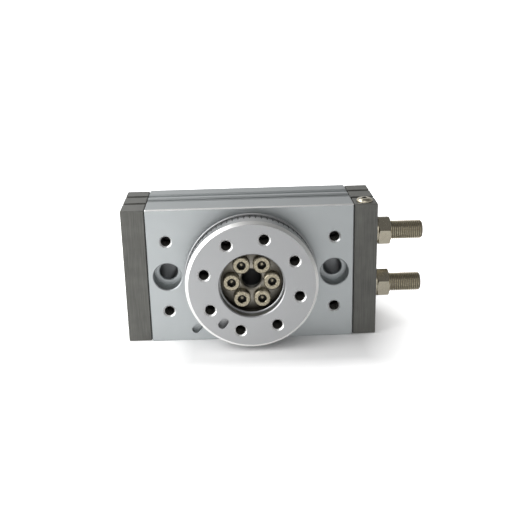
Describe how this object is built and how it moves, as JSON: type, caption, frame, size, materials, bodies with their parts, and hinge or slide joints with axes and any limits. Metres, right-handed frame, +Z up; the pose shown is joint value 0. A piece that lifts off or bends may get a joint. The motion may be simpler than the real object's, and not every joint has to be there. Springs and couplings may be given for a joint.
{
  "type": "pneumatic rotary actuator",
  "caption": "Rack-and-pinion air-driven rotary table with a rectangular body, dark end covers, a graduated round table and adjusting bolts with lock nuts at one end.",
  "frame": {"origin": "on the table axis, at the rear mounting face, midway between the two mounting holes", "axes": "+X along the body towards the adjusting bolts, +Y out of the rear mounting face, +Z up as the object stands on its long side; the table faces -Y"},
  "size_m": [0.1537, 0.057, 0.0716],
  "materials": {
    "body_aluminium": "clear anodised, satin",
    "table_aluminium": "clear anodised, fine turned satin",
    "cover_dark": "dark warm grey, satin, fine grain",
    "plated_steel": "nickel plated",
    "screw_steel": "stainless, turned",
    "shaft_steel": "ground alloy steel",
    "bearing_steel": "ground and polished",
    "spring_steel": "phosphated spring steel",
    "cage_brass": "pressed brass",
    "seal_rubber": "black nitrile rubber",
    "wear_plastic": "filled bearing plastic",
    "magnet_rubber": "plastic-bonded magnet",
    "cushion_urethane": "amber urethane"
  },
  "bodies": {
    "housing": {"body_block": "body_aluminium", "left_cover": "cover_dark", "right_cover": "cover_dark", "left_gasket": "seal_rubber", "right_gasket": "seal_rubber", "left_cover_screws": "screw_steel", "right_cover_screws": "screw_steel", "top_port_plug": "plated_steel", "bottom_port_plug": "plated_steel", "port_sealing_balls": "bearing_steel", "bearing_retainer": "body_aluminium", "retainer_screws": "screw_steel", "front_bearing_outer_ring": "bearing_steel", "rear_bearing_outer_ring": "bearing_steel", "rear_retaining_ring": "spring_steel"},
    "table": {"rotary_table": "table_aluminium", "table_screws": "screw_steel", "pinion_shaft": "shaft_steel", "table_dowel_pin": "bearing_steel", "front_bearing_inner_ring": "bearing_steel", "rear_bearing_inner_ring": "bearing_steel"},
    "front_ball_set": {"front_bearing_balls": "bearing_steel", "front_bearing_cage": "cage_brass"},
    "rear_ball_set": {"rear_bearing_balls": "bearing_steel", "rear_bearing_cage": "cage_brass"},
    "upper_piston": {"upper_rack": "shaft_steel", "upper_rack_seals": "seal_rubber", "upper_rack_wear_rings": "wear_plastic", "upper_rack_magnet": "magnet_rubber"},
    "upper_pad": {"upper_cushion_pad": "cushion_urethane"},
    "upper_bolt": {"upper_adjusting_bolt": "plated_steel"},
    "upper_washer": {"upper_seal_washer": "plated_steel", "upper_seal_ring": "seal_rubber"},
    "upper_nut": {"upper_lock_nut": "plated_steel"},
    "lower_piston": {"lower_rack": "shaft_steel", "lower_rack_seals": "seal_rubber", "lower_rack_wear_rings": "wear_plastic", "lower_rack_magnet": "magnet_rubber"},
    "lower_pad": {"lower_cushion_pad": "cushion_urethane"},
    "lower_bolt": {"lower_adjusting_bolt": "plated_steel"},
    "lower_washer": {"lower_seal_washer": "plated_steel", "lower_seal_ring": "seal_rubber"},
    "lower_nut": {"lower_lock_nut": "plated_steel"}
  },
  "joints": [
    {"name": "table_turn", "type": "hinge", "parent": "housing", "child": "table", "pos_m": [0, -0.05, 0], "axis": [0, -1, 0], "range_deg": [-102.5, 87.5]},
    {"name": "front_balls_roll", "type": "hinge", "parent": "housing", "child": "front_ball_set", "pos_m": [0, -0.0348, 0], "axis": [0, -1, 0], "range_deg": [-46.2, 39.5]},
    {"name": "rear_balls_roll", "type": "hinge", "parent": "housing", "child": "rear_ball_set", "pos_m": [0, -0.00575, 0], "axis": [0, -1, 0], "range_deg": [-45.1, 38.5]},
    {"name": "upper_rack_slide", "type": "slide", "parent": "housing", "child": "upper_piston", "axis": [1, 0, 0], "range_m": [-0.0134, 0.0157]},
    {"name": "upper_pad_travel", "type": "slide", "parent": "housing", "child": "upper_pad", "axis": [1, 0, 0], "range_m": [0, 0.0055]},
    {"name": "upper_bolt_turn", "type": "hinge", "parent": "upper_pad", "child": "upper_bolt", "pos_m": [0.07, -0.0185, 0.0145], "axis": [1, 0, 0], "range_deg": [0, 1800]},
    {"name": "upper_washer_travel", "type": "slide", "parent": "housing", "child": "upper_washer", "axis": [1, 0, 0], "range_m": [0, 0.0013]},
    {"name": "upper_nut_turn", "type": "hinge", "parent": "upper_washer", "child": "upper_nut", "pos_m": [0.07, -0.0185, 0.0145], "axis": [1, 0, 0], "range_deg": [0, 360]},
    {"name": "lower_rack_slide", "type": "slide", "parent": "housing", "child": "lower_piston", "axis": [1, 0, 0], "range_m": [-0.0157, 0.0134]},
    {"name": "lower_pad_travel", "type": "slide", "parent": "housing", "child": "lower_pad", "axis": [1, 0, 0], "range_m": [0, 0.0055]},
    {"name": "lower_bolt_turn", "type": "hinge", "parent": "lower_pad", "child": "lower_bolt", "pos_m": [0.07, -0.0185, -0.0145], "axis": [1, 0, 0], "range_deg": [0, 1800]},
    {"name": "lower_washer_travel", "type": "slide", "parent": "housing", "child": "lower_washer", "axis": [1, 0, 0], "range_m": [0, 0.0013]},
    {"name": "lower_nut_turn", "type": "hinge", "parent": "lower_washer", "child": "lower_nut", "pos_m": [0.07, -0.0185, -0.0145], "axis": [1, 0, 0], "range_deg": [0, 360]}
  ],
  "couplings": [
    {"joint": "front_balls_roll", "follows": "table_turn", "ratio": 0.45},
    {"joint": "rear_balls_roll", "follows": "table_turn", "ratio": 0.43953},
    {"joint": "upper_rack_slide", "follows": "table_turn", "m_per_rad": -0.00875},
    {"joint": "upper_pad_travel", "follows": "upper_bolt_turn", "m_per_rad": 0.00015915},
    {"joint": "upper_washer_travel", "follows": "upper_nut_turn", "m_per_rad": 0.00015915},
    {"joint": "lower_rack_slide", "follows": "table_turn", "m_per_rad": 0.00875},
    {"joint": "lower_pad_travel", "follows": "lower_bolt_turn", "m_per_rad": 0.00015915},
    {"joint": "lower_washer_travel", "follows": "lower_nut_turn", "m_per_rad": 0.00015915}
  ]
}
